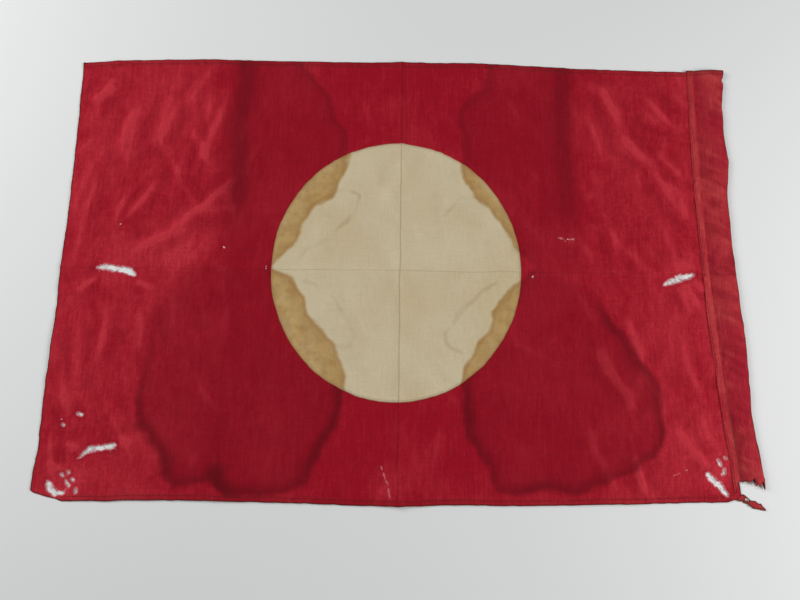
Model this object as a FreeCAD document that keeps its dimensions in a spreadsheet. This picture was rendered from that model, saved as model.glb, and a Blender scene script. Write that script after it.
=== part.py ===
"""A rectangular cloth flag lying flat: a hemmed cotton panel, a plain disc sewn on each face and a pole sleeve.

Frame: +X from the free (fly) end to the sleeve (hoist) end, +Y up the flag, +Z out of the upper face.
The origin is at the middle of the bounding box, on the surface that the flag lies on. Millimetres.
Each seam is a lockstitch, so it has two threads: the needle thread on the upper face and the bobbin thread below.
"""

import FreeCAD, Part
import math
import os

import Sketcher

DOC = FreeCAD.newDocument("cloth_flag")
UP = FreeCAD.Vector(0, 0, 1)

# Driving dimensions, one spreadsheet row each.
SIZES = {
    "ply": 0.4,  # one layer of the cotton
    "half_length": 464,  # from the middle to the fly edge, and to the fold of the sleeve
    "half_height": 311,  # from the middle to the edge, at the widest place
    "edge_radius": 14200,  # the long edges bow out a little
    "hem_width": 7.5,
    "seam_place": 412,  # where the sleeve's upper edge lies on the panel
    "seam_lap": 9,  # how far the sleeve laps over the panel
    "sleeve_top": 304,
    "sleeve_bottom": -298,
    "sleeve_hem": 9,
    "arch_radius": 48,  # the empty sleeve's upper ply stands in a low arch
    "fold_radius": 2.4,
    "fold_height": 4.6,
    "fold_back": 1.4,  # from the fold's outermost line back to where the arch starts
    "disc_x": -7,
    "disc_y": 0.5,
    "disc_width": 340,
    "disc_height": 365,
    "disc_stitch": 2.5,  # from the disc's edge in to its row of stitching
    "hem_stitch": 6,  # from the hem's outer edge in to its row
    "seam_stitch": 2,  # from the sleeve's edge in to its row
    "end_stitch": 7,  # from the sleeve's end in to its row
    "thread_width": 0.6,
    "thread_height": 0.2,
}

# Places where the cloth has worn through: middle x, middle y, length, width, turn in degrees.
TEARS = {
    "fly_tear": (-384, -10, 50, 9, -6),
    "hoist_tear": (381, -11, 42, 8, 17),
    "lower_fly_tear": (-386, -245, 42, 6, 15),
    "fly_corner_tear": (-436, -294, 17, 9, -70),
    "lower_hoist_tear": (404, -279, 32, 7, -50),
}
TEAR_SIZES = ("x", "y", "long", "wide", "turn")

# The sleeve's lower end is torn off along this ragged line, and the flag's lower fly corner along the other.
RAGGED_END = [(434, -274), (440, -276), (445, -272), (452, -274), (455, -271),
              (459, -281), (461, -277), (463, -273), (466, -284)]
LOST_CORNER = [(-466, -298), (-447, -302), (-430, -309), (-430, -315), (-466, -315)]
RAG_OUTLINE = [(434, -286), (440, -291), (450, -294), (462, -301), (464, -306),
               (457, -308), (446, -306), (439, -301), (434, -298)]

# Levels, in plies above the surface: the lower disc and sleeve ply, the panel, its hems, the sleeve's lap.
PANEL_BASE = "Sizes.ply"
PANEL_TOP = "2 * Sizes.ply"
HEM_TOP = "4 * Sizes.ply"
END_HEM_TOP = "5 * Sizes.ply"
DISC_TOP = "3 * Sizes.ply"


def make_sheet():
    sheet = DOC.addObject("Spreadsheet::Sheet", "Sizes")
    rows = dict(SIZES)
    for tear, numbers in TEARS.items():
        rows.update({f"{tear}_{size}": n for size, n in zip(TEAR_SIZES, numbers)})
    for row, (alias, number) in enumerate(rows.items(), 1):
        sheet.set(f"A{row}", alias)
        sheet.set(f"B{row}", str(number))
        sheet.setAlias(f"B{row}", alias)
    DOC.recompute()
    return sheet


SHEET = make_sheet()


def value(expression):
    """The number that an expression of the sheet's cells gives."""
    found = SHEET.evalExpression(str(expression))
    return float(getattr(found, "Value", found))


def make_body(name):
    body = DOC.addObject("PartDesign::Body", name)
    body.Label = name
    return body


def make_sketch(body, name, offset, role="XY_Plane"):
    """A sketch on one of the body's own planes, moved along that plane's normal by an expression."""
    sketch = body.newObject("Sketcher::SketchObject", name)
    plane = next(f for f in body.Origin.OriginFeatures if f.Role == role)
    sketch.AttachmentSupport = [(plane, "")]
    sketch.MapMode = "FlatFace"
    sketch.setExpression("AttachmentOffset.Base.z", offset)
    return sketch


def arc_between(start, end, radius):
    """An arc from start to end. A positive radius has its centre to the left of the way from start to end."""
    way = end - start
    left = FreeCAD.Vector(-way.y, way.x, 0).normalize()
    reach = math.sqrt(radius**2 - (way.Length / 2) ** 2)
    centre = (start + end) / 2 + left * math.copysign(reach, radius)
    first, last = (start, end) if radius > 0 else (end, start)
    angles = [math.atan2(p.y - centre.y, p.x - centre.x) for p in (first, last)]
    return Part.ArcOfCircle(Part.Circle(centre, UP, abs(radius)), *angles)


def tie(sketch, kind, geometry, vertex, expression):
    """Holds a vertex at a distance from the sketch's origin, which the expression drives."""
    index = sketch.addConstraint(
        Sketcher.Constraint(kind, -1, 1, geometry, vertex, value(expression)))
    sketch.setExpression(f"Constraints[{index}]", expression)


def outline(sketch, corners, bends=None):
    """A closed outline, drawn with the material on its left. corners are (x, y) pairs of expressions or
    numbers. bends gives, for the edge that leaves a corner, the expression of its radius: positive where it
    bulges out and negative where it bulges in."""
    bends = bends or {}
    places = [FreeCAD.Vector(value(x), value(y), 0) for x, y in corners]
    ends = []
    for i, start in enumerate(places):
        end = places[(i + 1) % len(places)]
        if i in bends:
            radius = value(bends[i])
            geometry = sketch.addGeometry(arc_between(start, end, radius), False)
            index = sketch.addConstraint(Sketcher.Constraint("Radius", geometry, abs(radius)))
            sketch.setExpression(f"Constraints[{index}]", f"abs({bends[i]})")
            ends.append((geometry, (1, 2) if radius > 0 else (2, 1)))
        else:
            ends.append((sketch.addGeometry(Part.LineSegment(start, end), False), (1, 2)))
    for i, (geometry, (first, _)) in enumerate(ends):
        before, (_, last) = ends[i - 1]
        sketch.addConstraint(Sketcher.Constraint("Coincident", before, last, geometry, first))
        tie(sketch, "DistanceX", geometry, first, str(corners[i][0]))
        tie(sketch, "DistanceY", geometry, first, str(corners[i][1]))


def pad(body, sketch, name, length, backwards=False):
    feature = body.newObject("PartDesign::Pad", name)
    feature.Profile = sketch
    feature.setExpression("Length", length)
    feature.Reversed = backwards
    body.Tip = feature
    DOC.recompute()
    return feature


def pocket(body, sketch, name, depth):
    """Cuts down from the sketch, and stops the build if that takes nothing away."""
    before = body.Shape.Volume
    feature = body.newObject("PartDesign::Pocket", name)
    feature.Profile = sketch
    feature.setExpression("Length", depth)
    body.Tip = feature
    DOC.recompute()
    if body.Shape.Volume > before - 0.1:
        raise RuntimeError(f"{name} cut nothing from {body.Label}")
    return feature


def edge_height(x, inset):
    """The expression of how far a bowed long edge, moved in by inset, is from the X axis at x."""
    middle = "(Sizes.seam_place + Sizes.seam_lap - Sizes.half_length) / 2"
    radius = f"(Sizes.edge_radius - ({inset}))"
    return f"sqrt({radius}^2 - (({x}) - {middle})^2) + Sizes.half_height - Sizes.edge_radius"


def bowed_plate(sketch, left, right, inset):
    """An outline whose upper and lower edges follow the panel's, moved in by inset."""
    radius = f"Sizes.edge_radius - ({inset})"
    low_left, low_right = (f"-({edge_height(x, inset)})" for x in (left, right))
    high_left, high_right = (edge_height(x, inset) for x in (left, right))
    corners = [(left, low_left), (right, low_right), (right, high_right), (left, high_left)]
    outline(sketch, corners, {0: radius, 2: radius})


def bowed_strip(sketch, left, right, inset, width, side):
    """A narrow strip along the upper (side 1) or lower (side -1) edge."""
    outer, inner = inset, f"{inset} + {width}"
    corners = [(left, inner), (right, inner), (right, outer), (left, outer)]
    if side < 0:
        corners = [(left, outer), (right, outer), (right, inner), (left, inner)]
    placed = [(x, f"{side} * ({edge_height(x, depth)})") for x, depth in corners]
    bends = {0: f"-(Sizes.edge_radius - ({inner}))", 2: f"Sizes.edge_radius - ({outer})"}
    if side < 0:
        bends = {0: f"Sizes.edge_radius - ({outer})", 2: f"-(Sizes.edge_radius - ({inner}))"}
    outline(sketch, placed, bends)


def leaf(sketch, tear):
    """A tear's outline: two arcs that meet in points."""
    cell = {size: f"Sizes.{tear}_{size}" for size in TEAR_SIZES}
    reach = [f"{cell['long']} / 2 * {turn}({cell['turn']} * 1 deg)" for turn in ("cos", "sin")]
    tips = [tuple(f"{cell[axis]} {sign} {way}" for axis, way in zip("xy", reach)) for sign in "-+"]
    radius = f"(({cell['long']} / 2)^2 + ({cell['wide']} / 2)^2) / {cell['wide']}"
    outline(sketch, tips, {0: radius, 1: radius})


def field_panel():
    """One piece of cotton with a woven edge at the fly. Its long edges are turned over twice."""
    body = make_body("field_panel")
    fly, hoist = "-Sizes.half_length", "Sizes.seam_place + Sizes.seam_lap"
    plies = make_sketch(body, "panel_outline", PANEL_BASE)
    bowed_plate(plies, fly, hoist, "0")
    pad(body, plies, "panel_with_hems", f"{HEM_TOP} - {PANEL_BASE}")
    single = make_sketch(body, "single_ply_outline", HEM_TOP)
    bowed_plate(single, f"{fly} - 5", f"{hoist} + 5", "Sizes.hem_width")
    pocket(body, single, "single_ply_between_hems", f"{HEM_TOP} - {PANEL_TOP}")
    lap = make_sketch(body, "lap_outline", HEM_TOP)
    sides = ("Sizes.seam_place", f"{hoist} + 5")
    reach = "Sizes.half_height + 5"
    outline(lap, [(sides[0], f"-({reach})"), (sides[1], f"-({reach})"), (sides[1], reach), (sides[0], reach)])
    pocket(body, lap, "single_ply_under_sleeve", f"{HEM_TOP} - {PANEL_TOP}")
    worn = make_sketch(body, "tear_outlines", HEM_TOP)
    for tear in TEARS:
        leaf(worn, tear)
    outline(worn, LOST_CORNER)
    pocket(body, worn, "tears", f"{HEM_TOP} - {PANEL_BASE} + 1")
    return body


def sleeve_arch(low, high, radius):
    """The corners and bends of a band that lies on the sleeve's arch between two levels at its lap. The
    band starts at the sleeve's edge, and radius is the arch's at the lower level."""
    lap_end = "Sizes.seam_place + Sizes.seam_lap"
    thick = f"({high} - {low})"
    rise = f"Sizes.fold_height + {low} - ({HEM_TOP})"
    arch_start = "Sizes.half_length - Sizes.fold_back"
    corners = [("Sizes.seam_place", low), (lap_end, low), (arch_start, rise),
               (arch_start, f"{rise} + {thick}"), (lap_end, high), ("Sizes.seam_place", high)]
    return corners, {1: f"-({radius})", 3: f"{radius} + {thick}"}


def hoist_sleeve():
    """A strip of the same cotton, folded lengthwise over the panel's hoist edge into an open-ended tube."""
    body = make_body("hoist_sleeve")
    lap_end = "Sizes.seam_place + Sizes.seam_lap"
    groove = "Sizes.seam_place + Sizes.seam_stitch"
    fold_start = "Sizes.half_length - Sizes.fold_radius"
    arch_start = "Sizes.half_length - Sizes.fold_back"
    section = make_sketch(body, "sleeve_section", "-Sizes.sleeve_top", "XZ_Plane")
    corners = [
        ("Sizes.seam_place", "0"),
        (groove, "0"),  # the bobbin thread lies in this groove
        (groove, "Sizes.thread_height"),
        (f"{groove} + Sizes.thread_width", "Sizes.thread_height"),
        (f"{groove} + Sizes.thread_width", "0"),
        (fold_start, "0"),
        (arch_start, "Sizes.fold_height"),
        (lap_end, HEM_TOP),
        ("Sizes.seam_place", HEM_TOP),
        ("Sizes.seam_place", PANEL_TOP),
        (lap_end, PANEL_TOP),
        (lap_end, DISC_TOP),
        (f"{arch_start} - 0.3", "Sizes.fold_height - Sizes.ply"),
        (fold_start, "Sizes.ply"),
        ("Sizes.seam_place", "Sizes.ply"),
    ]
    bends = {
        5: "Sizes.fold_radius",
        6: "Sizes.arch_radius",
        11: "-(Sizes.arch_radius - Sizes.ply)",
        12: "-(Sizes.fold_radius - Sizes.ply)",
    }
    outline(section, corners, bends)
    pad(body, section, "folded_strip", "Sizes.sleeve_top - Sizes.sleeve_bottom")
    hem = make_sketch(body, "end_hem_section", "-Sizes.sleeve_top", "XZ_Plane")
    outline(hem, *sleeve_arch(HEM_TOP, END_HEM_TOP, "Sizes.arch_radius"))
    pad(body, hem, "end_hem", "Sizes.sleeve_hem")
    above = "2 * Sizes.fold_height"
    torn = make_sketch(body, "torn_end_outline", above)
    below = "Sizes.sleeve_bottom - 20"
    outline(torn, [(RAGGED_END[0][0], below), *RAGGED_END, (RAGGED_END[-1][0], below)])
    pocket(body, torn, "torn_end", f"{above} + 1")
    return body


def torn_hem_end():
    """What is left of the sleeve's lower hem: a rag that hangs on at the seam."""
    body = make_body("torn_hem_end")
    rag = make_sketch(body, "rag_outline", "0")
    outline(rag, RAG_OUTLINE)
    pad(body, rag, "rag", "2 * Sizes.ply")
    return body


def ellipse_plate(name, inset, low, high):
    """A flat oval plate with the disc's outline moved in by inset, between two levels."""
    oval = DOC.addObject("Part::Ellipse", f"{name}_outline")
    oval.Placement = FreeCAD.Placement(FreeCAD.Vector(), FreeCAD.Rotation(UP, 90))
    oval.setExpression("MajorRadius", f"Sizes.disc_height / 2 - ({inset})")
    oval.setExpression("MinorRadius", f"Sizes.disc_width / 2 - ({inset})")
    oval.setExpression("Placement.Base.x", "Sizes.disc_x")
    oval.setExpression("Placement.Base.y", "Sizes.disc_y")
    oval.setExpression("Placement.Base.z", low)
    plate = DOC.addObject("Part::Extrusion", name)
    plate.Base = oval
    plate.DirMode = "Custom"
    plate.Dir = UP
    plate.Solid = True
    plate.setExpression("LengthFwd", f"{high} - ({low})")
    return plate


def cut(name, base, tool):
    result = DOC.addObject("Part::Cut", name)
    result.Base = base
    result.Tool = tool
    result.Label = name
    return result


def disc_ring(name, low, high):
    """The row of stitching round a disc."""
    outer = ellipse_plate(f"{name}_outer", "Sizes.disc_stitch", low, high)
    inner = ellipse_plate(f"{name}_inner", "Sizes.disc_stitch + Sizes.thread_width", low, high)
    return cut(name, outer, inner)


def discs():
    """A plain disc on each face and the row of stitching that holds both."""
    front = ellipse_plate("front_disc", "0", PANEL_TOP, DISC_TOP)
    front.Label = "front_disc"
    needle = disc_ring("disc_needle_thread", DISC_TOP, f"{DISC_TOP} + Sizes.thread_height")
    bobbin = disc_ring("disc_bobbin_thread", "0", "Sizes.thread_height")
    whole = ellipse_plate("back_disc_uncut", "0", "0", PANEL_BASE)
    groove = disc_ring("back_disc_groove", "0", "Sizes.thread_height")
    back = cut("back_disc", whole, groove)
    return [front, back, needle, bobbin]


def hem_threads():
    """The two threads of each long hem's row of stitching."""
    made = []
    levels = {"needle": HEM_TOP, "bobbin": f"{PANEL_BASE} - Sizes.thread_height"}
    for place, side in (("top", 1), ("bottom", -1)):
        for thread, level in levels.items():
            body = make_body(f"{place}_hem_{thread}_thread")
            row = make_sketch(body, f"{place}_{thread}_row", level)
            left = "-Sizes.half_length + 4" if side > 0 else "-Sizes.half_length + 48"
            bowed_strip(row, left, "Sizes.seam_place - 1", "Sizes.hem_stitch", "Sizes.thread_width", side)
            pad(body, row, f"{place}_{thread}_thread", "Sizes.thread_height")
            made.append(body)
    return made


def seam_threads():
    """The two threads that hold the sleeve to the panel."""
    made = []
    left = "Sizes.seam_place + Sizes.seam_stitch"
    right = f"{left} + Sizes.thread_width"
    low, high = "Sizes.sleeve_bottom + 2", "Sizes.sleeve_top - Sizes.sleeve_hem - 1"
    for thread, level in (("needle", HEM_TOP), ("bobbin", "0")):
        body = make_body(f"sleeve_seam_{thread}_thread")
        row = make_sketch(body, f"seam_{thread}_row", level)
        outline(row, [(left, low), (right, low), (right, high), (left, high)])
        pad(body, row, f"seam_{thread}_thread", "Sizes.thread_height")
        made.append(body)
    return made


def sleeve_end_threads():
    """The two threads of the hem at the sleeve's upper end. The bobbin thread is inside the tube."""
    offset = "-(Sizes.sleeve_top - Sizes.end_stitch)"
    outer = make_body("sleeve_end_needle_thread")
    row = make_sketch(outer, "end_needle_row", offset, "XZ_Plane")
    over = f"{END_HEM_TOP} + Sizes.thread_height"
    outline(row, *sleeve_arch(END_HEM_TOP, over, "Sizes.arch_radius + Sizes.ply"))
    pad(outer, row, "end_needle_thread", "Sizes.thread_width")
    inner = make_body("sleeve_end_bobbin_thread")
    row = make_sketch(inner, "end_bobbin_row", offset, "XZ_Plane")
    lap_end = "Sizes.seam_place + Sizes.seam_lap"
    arch_start = "Sizes.half_length - Sizes.fold_back - 0.3"
    corners = [(lap_end, f"{DISC_TOP} - Sizes.thread_height"),
               (arch_start, "Sizes.fold_height - Sizes.ply - Sizes.thread_height"),
               (arch_start, "Sizes.fold_height - Sizes.ply"),
               (lap_end, DISC_TOP)]
    inner_radius = "Sizes.arch_radius - Sizes.ply"
    outline(row, corners, {0: f"-({inner_radius} - Sizes.thread_height)", 2: inner_radius})
    pad(inner, row, "end_bobbin_thread", "Sizes.thread_width")
    return [outer, inner]


def check(pieces):
    """Stops the build at any object that failed to compute, and at any piece without a valid solid."""
    DOC.recompute()
    failed = [o.Name for o in DOC.Objects if {"Invalid", "Error"} & set(o.State)]
    if failed:
        raise RuntimeError(f"these objects failed: {failed}")
    for piece in pieces:
        shape = piece.Shape
        if shape.isNull() or not shape.isValid() or not shape.Solids:
            raise RuntimeError(f"{piece.Label} has no valid solid")


def main():
    pieces = [field_panel(), hoist_sleeve(), torn_hem_end()]
    pieces += discs() + hem_threads() + seam_threads() + sleeve_end_threads()
    check(pieces)
    os.makedirs("parts", exist_ok=True)
    for piece in pieces:
        piece.Shape.exportStep(f"parts/{piece.Label}.step")
        box = piece.Shape.BoundBox
        print(f"{piece.Label}: {len(piece.Shape.Solids)} solid, {piece.Shape.Volume:.1f} mm3, "
              f"x {box.XMin:.2f} {box.XMax:.2f}, y {box.YMin:.2f} {box.YMax:.2f}, z {box.ZMin:.2f} {box.ZMax:.2f}")


main()
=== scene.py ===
"""The looks of a rectangular cloth flag lying flat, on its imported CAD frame.

Lengths in this file are millimetres in the row's own frame, and they become metres when a mesh is made.
"""

import math

import bpy
import numpy as np
from mathutils.geometry import delaunay_2d_cdt
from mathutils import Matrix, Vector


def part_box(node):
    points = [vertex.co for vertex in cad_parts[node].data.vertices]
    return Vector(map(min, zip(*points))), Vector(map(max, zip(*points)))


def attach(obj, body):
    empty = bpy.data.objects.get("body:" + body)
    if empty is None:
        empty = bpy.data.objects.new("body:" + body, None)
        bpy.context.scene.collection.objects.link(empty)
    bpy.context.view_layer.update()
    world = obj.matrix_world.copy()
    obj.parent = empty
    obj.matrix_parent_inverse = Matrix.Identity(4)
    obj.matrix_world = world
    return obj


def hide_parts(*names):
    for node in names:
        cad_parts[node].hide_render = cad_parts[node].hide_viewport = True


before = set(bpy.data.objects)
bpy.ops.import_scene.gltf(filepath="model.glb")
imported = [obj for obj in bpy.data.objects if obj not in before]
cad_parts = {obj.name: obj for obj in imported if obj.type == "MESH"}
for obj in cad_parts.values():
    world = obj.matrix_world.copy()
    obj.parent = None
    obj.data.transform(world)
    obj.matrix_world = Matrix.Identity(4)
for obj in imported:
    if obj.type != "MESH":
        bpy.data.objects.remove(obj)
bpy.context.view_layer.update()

MM = 0.001
PLY = 0.4  # one layer of the cotton
FAR = 1e9  # farther than anything here


def box_mm(node):
    """The lowest and highest corners of a CAD node, in millimetres."""
    return [np.array(corner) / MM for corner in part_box(node)]


FIELD_LOW, FIELD_HIGH = box_mm("field_panel")
SLEEVE_HIGH = box_mm("hoist_sleeve")[1]
DISC_LOW, DISC_HIGH = box_mm("front_disc")
DISC_CENTRE = (DISC_LOW[:2] + DISC_HIGH[:2]) / 2 + (0, -1.3)
DISC_REACH = (DISC_HIGH[:2] - DISC_LOW[:2]) / 2 - (0, 1.4)


# ---------------- numbers

def noise(x, y, size, seed):
    """Smooth random values from -1 to 1 whose features are about size mm across. size may be a pair."""
    wide, high = size if isinstance(size, tuple) else (size, size)
    table = np.random.default_rng(seed).uniform(-1, 1, (128, 128))
    u, v = np.asarray(x) / wide, np.asarray(y) / high
    i, j = np.floor(u).astype(int), np.floor(v).astype(int)
    f, g = u - i, v - j
    f, g = f * f * (3 - 2 * f), g * g * (3 - 2 * g)
    low = table[i % 128, j % 128] * (1 - f) + table[(i + 1) % 128, j % 128] * f
    high = table[i % 128, (j + 1) % 128] * (1 - f) + table[(i + 1) % 128, (j + 1) % 128] * f
    return low * (1 - g) + high * g


def ripple(along, size, seed):
    """The same along a line."""
    return noise(along, 0 * along, size, seed)


def smooth_step(value, low, high):
    t = np.clip((value - low) / (high - low), 0, 1)
    return t * t * (3 - 2 * t)


def resample(path, step):
    """The points of a polyline again, about step apart."""
    path = np.asarray(path, float)
    lengths = np.linalg.norm(np.diff(path, axis=0), axis=1)
    along = np.concatenate([[0], np.cumsum(lengths)])
    at = np.linspace(0, along[-1], max(2, int(round(along[-1] / step)) + 1))
    return np.column_stack([np.interp(at, along, path[:, k]) for k in range(2)])


def inside(polygon, x, y):
    """Whether each point is inside a closed polygon."""
    found = np.zeros(len(x), bool)
    for (ax, ay), (bx, by) in zip(polygon, np.roll(polygon, -1, axis=0)):
        if ay == by:
            continue
        crosses = (ay > y) != (by > y)
        found ^= crosses & (x < (bx - ax) * (y - ay) / (by - ay) + ax)
    return found


def line_distance(lines, x, y):
    """The distance to the nearest of some polylines."""
    best = np.full(len(x), FAR)
    for line in lines:
        for a, b in zip(np.array(line[:-1], float), np.array(line[1:], float)):
            way = b - a
            t = np.clip(((x - a[0]) * way[0] + (y - a[1]) * way[1]) / (way @ way), 0, 1)
            best = np.minimum(best, np.hypot(x - a[0] - t * way[0], y - a[1] - t * way[1]))
    return best


def signed_distance(polygon, x, y):
    """The distance to a polygon's outline, negative inside."""
    away = line_distance([[*polygon, polygon[0]]], x, y)
    return np.where(inside(polygon, x, y), -away, away)


# ---------------- outlines

EDGE_RADIUS = 14200  # the long edges bow out, as in the CAD
# How far the worn edges wander from that plain outline: places along the edge, and millimetres.
TOP_WANDER = ([-465, -400, -340, -280, -230, -130, -60, 0, 100, 160, 250, 430],
              [-2.5, 0.5, 1, 1, -1, -2.5, -3, -3, -1.5, -3.5, -6.5, -6.5])
BOTTOM_WANDER = ([-466, -450, -445, -433, -426, -400, -370, -330, -256, -120, -60, 0, 70, 150, 380, 416,
                  424, 428],
                 [6, 2, 0.5, -1.5, -4.5, -2.5, -2, 0.5, 2.5, 2, 0.5, -0.5, 2, 1, 3, 2.5, 4.5, 7])
FLY_WANDER = ([-299, -270, -248, -200, -110, -79, -45, -10, 61, 135, 210, 302],
              [-2, -2, 1, 0, 1.5, 3, 2.5, 1, 2.5, 2.5, 1, -1.5])
# The sleeve's edges: places up the flag, and where the edge is across it.
SEAM_LINE = ([-300, -274, -237, -173, -121, -70, 0, 119, 200, 297, 304],
             [427, 426, 423, 418.5, 414.5, 412, 409.5, 408, 409, 411.5, 412])
SLEEVE_EDGE = ([-289, -275, -260, -218, -193, -160, -88, -50, 0, 30, 110, 160, 200, 250, 276, 281, 285, 289,
                300],
               [465.5, 465.5, 464, 459, 457.5, 458.5, 459, 457, 455, 454, 454, 460.5, 457.5, 459, 463.5,
                463.5, 461.5, 464, 465.5])
RAGGED_END = ([424, 431, 434, 438, 441, 445, 450, 453, 456, 458, 460, 463, 465, 467],
              [-297, -280, -275, -277, -274, -276, -272, -277, -282, -280, -277, -275, -287, -274])
SLEEVE_TOP = SLEEVE_HIGH[1] - 3.5


def bowed(x):
    middle = (FIELD_LOW[0] + FIELD_HIGH[0]) / 2
    return FIELD_HIGH[1] - EDGE_RADIUS + np.sqrt(EDGE_RADIUS**2 - (x - middle) ** 2)


def top_edge(x):
    return bowed(x) + np.interp(x, *TOP_WANDER) + 0.35 * ripple(x, 9, 11)


def bottom_edge(x):
    return -bowed(x) + np.interp(x, *BOTTOM_WANDER) + 0.35 * ripple(x, 9, 12)


def fly_edge(y):
    frayed = 0.5 * ripple(y, 14, 13) + 0.25 * ripple(y, 3, 14)
    return FIELD_LOW[0] + np.interp(y, *FLY_WANDER) + frayed


def seam_line(y):
    return np.interp(y, *SEAM_LINE) + 0.3 * ripple(y, 12, 15)


def panel_end(y):
    """The panel's hoist edge, which is hidden under the sleeve's lap."""
    return seam_line(y) + 8.0


def sleeve_edge(y):
    return np.interp(y, *SLEEVE_EDGE) + 0.5 * ripple(y, 11, 16)


# Tears and moth holes: a centre line and the half width at each of its points, of which HOLE_WIDTH is open.
HOLE_WIDTH = 0.76
HOLES = [
    ([(-413, -5), (-404, -4), (-390, -6), (-376, -8), (-368, -11), (-361, -15)],
     [1.0, 4.4, 4.8, 4.0, 5.2, 2.4]),
    ([(357, -20), (364, -16), (372, -14), (380, -9), (389, -8), (398, -5)], [1.0, 4.2, 4.0, 5.2, 4.2, 1.2]),
    ([(-408, -255), (-403, -250), (-397, -245), (-388, -244), (-380, -243), (-366, -240)],
     [0.9, 1.8, 5.0, 3.2, 3.4, 4.2]),
    ([(-445, -287), (-441, -295), (-434, -300), (-424, -299)], [3.2, 5.0, 3.4, 1.6]),
    ([(394, -267), (400, -274), (407, -280), (412, -287), (417, -293)], [2.4, 4.6, 4.0, 3.6, 2.2]),
    ([(409, -249), (411, -254), (413, -257)], [0.8, 2.0, 0.8]),
    ([(417, -260), (416, -265), (413, -268)], [0.8, 2.0, 0.8]),
    ([(418, -246), (420, -248)], [1.2, 1.0]),
    ([(-409, -294), (-409, -299)], [1.6, 1.6]),
    ([(-423, -284), (-418, -291)], [1.0, 1.8]),
    ([(-415, -282), (-413, -284)], [1.6, 1.3]),
    ([(-421, -273), (-420, -275)], [1.4, 1.4]),
    ([(-429, -276), (-427, -279)], [1.6, 1.2]),
    ([(-435, -214), (-433, -216)], [1.2, 1.2]),
    ([(-417, -200), (-411, -202)], [1.4, 1.8]),
]

# Water stains: each one's outline. The cloth was stained while folded, so they come in mirrored pairs.
STAINS = [
    [(-248, 340), (-150, 340), (-146, 300), (-133, 288), (-123, 268), (-104, 250), (-92, 226), (-83, 200),
     (-76, 160), (-80, 136), (-92, 112), (-111, 94), (-134, 57), (-145, 32), (-164, 16), (-182, 2),
     (-200, -12), (-252, -12)],
    [(247, 340), (128, 340), (124, 300), (114, 270), (95, 252), (83, 226), (80, 200), (81, 150), (89, 123),
     (99, 104), (123, 84), (143, 56), (158, 30), (172, 8), (200, -12), (250, -12)],
    [(-345, -170), (-341, -205), (-330, -234), (-311, -253), (-302, -274), (-285, -289), (-256, -288),
     (-236, -283), (-214, -300), (-178, -301), (-148, -295), (-121, -284), (-114, -264), (-96, -240),
     (-82, -219), (-72, -165), (-70, -147), (-81, -124), (-85, -107), (-112, -79), (-127, -43), (-155, -9),
     (-176, -2), (-200, 6), (-290, 2), (-336, -80)],
    [(81, -200), (85, -225), (101, -245), (116, -262), (121, -288), (150, -296), (222, -295),
     (270, -280), (300, -269), (331, -253), (346, -220), (345, -190), (335, -148), (300, -88), (262, -30),
     (196, 4), (176, -6), (162, -17), (146, -25), (128, -54), (116, -86), (97, -103), (84, -131),
     (77, -157)],
]
STAIN_STRENGTHS = [0.44, 0.4, 0.57, 0.54]
FLY_FOLD = -229  # x of the fold that was pressed in nearest the fly edge
STAIN_FOLDS = [(FLY_FOLD, 50, 320), (228, 60, 320)]  # stains are darker along these folds: x, from y, to y

# Fainter tide lines on the disc, beyond the stains' own rims.
OLD_RIMS = [
    [(-95, 111), (-77, 111), (-62, 98), (-68, 78), (-100, 40), (-140, 12)],
    [(-84, -112), (-67, -110), (-62, -96), (-90, -50), (-128, -20)],
    [(62, 72), (79, 98), (99, 102), (122, 86), (142, 58), (160, 18)],
    [(80, -114), (66, -104), (64, -84), (90, -50), (125, -22)],
]

# Lines along which the yarns are worn thin and pale.
WORN_LINES = [
    [(-23, -262), (-19, -272), (-14, -284), (-11, -300)],
    [(350, -270), (357, -267), (364, -264)],
    [(216, 45), (226, 42), (237, 43)],
    [(-404, -252), (-412, -258)],
]


# ---------------- relief

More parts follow.
